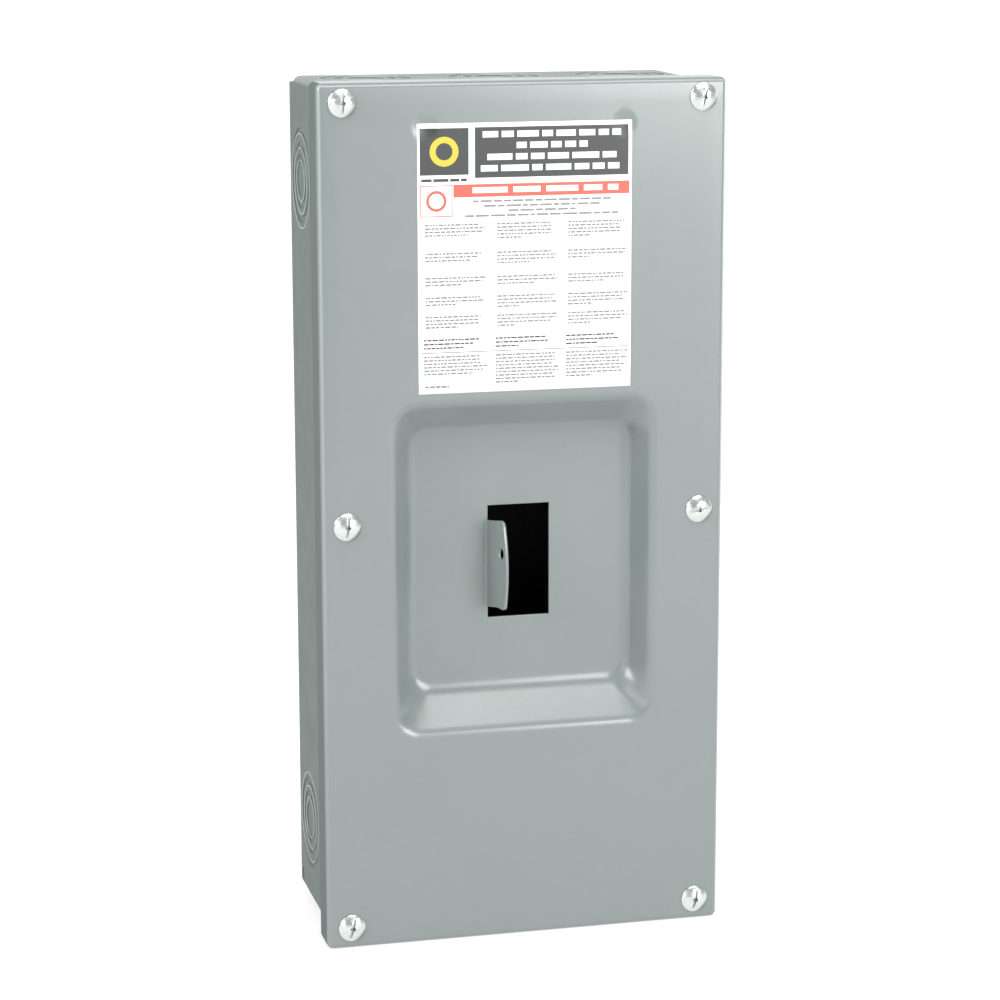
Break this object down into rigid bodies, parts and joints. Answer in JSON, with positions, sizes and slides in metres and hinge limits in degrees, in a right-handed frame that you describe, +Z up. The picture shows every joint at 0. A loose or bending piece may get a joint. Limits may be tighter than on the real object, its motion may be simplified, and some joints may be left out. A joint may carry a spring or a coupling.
{
  "type": "subpanel enclosure",
  "caption": "Surface-mounted sheet-steel subpanel enclosure with knockouts, a breaker pan, neutral and ground bars, and a screwed pan cover with a recessed handle cut-out.",
  "frame": {"origin": "middle of the box's back face, which is also the middle of the four wall holes, on the wall", "axes": "+X right, +Y into the wall, +Z up; the front faces -Y"},
  "size_m": [0.218, 0.1057, 0.46],
  "materials": {
    "box_paint": "baked grey enamel on sheet steel, satin",
    "cover_paint": "baked grey enamel on sheet steel, semi-gloss with a fine orange peel",
    "dark_paint": "black paint, satin",
    "bright_zinc": "bright clear zinc plate",
    "zinc_plate": "clear zinc plate",
    "tinned_aluminium": "tin-plated aluminium, extruded",
    "copper": "bare copper strap",
    "green_screw": "green coated steel",
    "black_fibre": "black vulcanised fibre sheet, matt",
    "black_plastic": "moulded thermoset, matt",
    "label_film": "white printed film, satin"
  },
  "bodies": {
    "box": {"box_body": "box_paint", "top_end_wall": "box_paint", "bottom_end_wall": "box_paint", "cover_screw_nuts": "zinc_plate", "breaker_pan": "dark_paint", "pan_nuts": "zinc_plate", "insulating_barrier": "black_fibre", "barrier_rivets": "black_plastic", "neutral_base": "black_plastic", "neutral_bar": "tinned_aluminium", "neutral_base_screws": "zinc_plate", "neutral_terminal_screws": "zinc_plate", "neutral_lug_left": "tinned_aluminium", "neutral_lug_right": "tinned_aluminium", "bonding_strap": "copper", "ground_bar": "tinned_aluminium", "ground_bar_screws": "zinc_plate", "ground_terminal_screws": "green_screw"},
    "neutral_lug_screw_left": {"neutral_lug_screw_left": "zinc_plate"},
    "neutral_lug_screw_right": {"neutral_lug_screw_right": "zinc_plate"},
    "bonding_screw": {"bonding_screw": "green_screw"},
    "cover": {"cover": "cover_paint", "padlock_tab": "cover_paint", "instruction_label": "label_film"},
    "cover_screw_top_left": {"cover_screw_top_left": "bright_zinc"},
    "cover_screw_top_right": {"cover_screw_top_right": "bright_zinc"},
    "cover_screw_middle_left": {"cover_screw_middle_left": "bright_zinc"},
    "cover_screw_middle_right": {"cover_screw_middle_right": "bright_zinc"},
    "cover_screw_bottom_left": {"cover_screw_bottom_left": "bright_zinc"},
    "cover_screw_bottom_right": {"cover_screw_bottom_right": "bright_zinc"}
  },
  "joints": [
    {"name": "cover_lift_off", "type": "slide", "parent": "box", "child": "cover", "axis": [0, -1, 0], "range_m": [0, 0.16]},
    {"name": "cover_screw_top_left_turn", "type": "hinge", "parent": "cover", "child": "cover_screw_top_left", "pos_m": [-0.0958, -0.101, 0.2184], "axis": [0, -1, 0], "continuous": true},
    {"name": "cover_screw_top_right_turn", "type": "hinge", "parent": "cover", "child": "cover_screw_top_right", "pos_m": [0.0958, -0.101, 0.2184], "axis": [0, -1, 0], "continuous": true},
    {"name": "cover_screw_middle_left_turn", "type": "hinge", "parent": "cover", "child": "cover_screw_middle_left", "pos_m": [-0.0958, -0.101, -0.0008], "axis": [0, -1, 0], "continuous": true},
    {"name": "cover_screw_middle_right_turn", "type": "hinge", "parent": "cover", "child": "cover_screw_middle_right", "pos_m": [0.0958, -0.101, -0.0008], "axis": [0, -1, 0], "continuous": true},
    {"name": "cover_screw_bottom_left_turn", "type": "hinge", "parent": "cover", "child": "cover_screw_bottom_left", "pos_m": [-0.0958, -0.101, -0.22], "axis": [0, -1, 0], "continuous": true},
    {"name": "cover_screw_bottom_right_turn", "type": "hinge", "parent": "cover", "child": "cover_screw_bottom_right", "pos_m": [0.0958, -0.101, -0.22], "axis": [0, -1, 0], "continuous": true},
    {"name": "neutral_lug_screw_left_turn", "type": "hinge", "parent": "box", "child": "neutral_lug_screw_left", "pos_m": [-0.046, -0.05, -0.152], "axis": [0, -1, 0], "continuous": true},
    {"name": "neutral_lug_screw_right_turn", "type": "hinge", "parent": "box", "child": "neutral_lug_screw_right", "pos_m": [0.046, -0.05, -0.152], "axis": [0, -1, 0], "continuous": true},
    {"name": "bonding_screw_turn", "type": "hinge", "parent": "box", "child": "bonding_screw", "pos_m": [0.064, -0.004, -0.152], "axis": [0, -1, 0], "continuous": true}
  ]
}
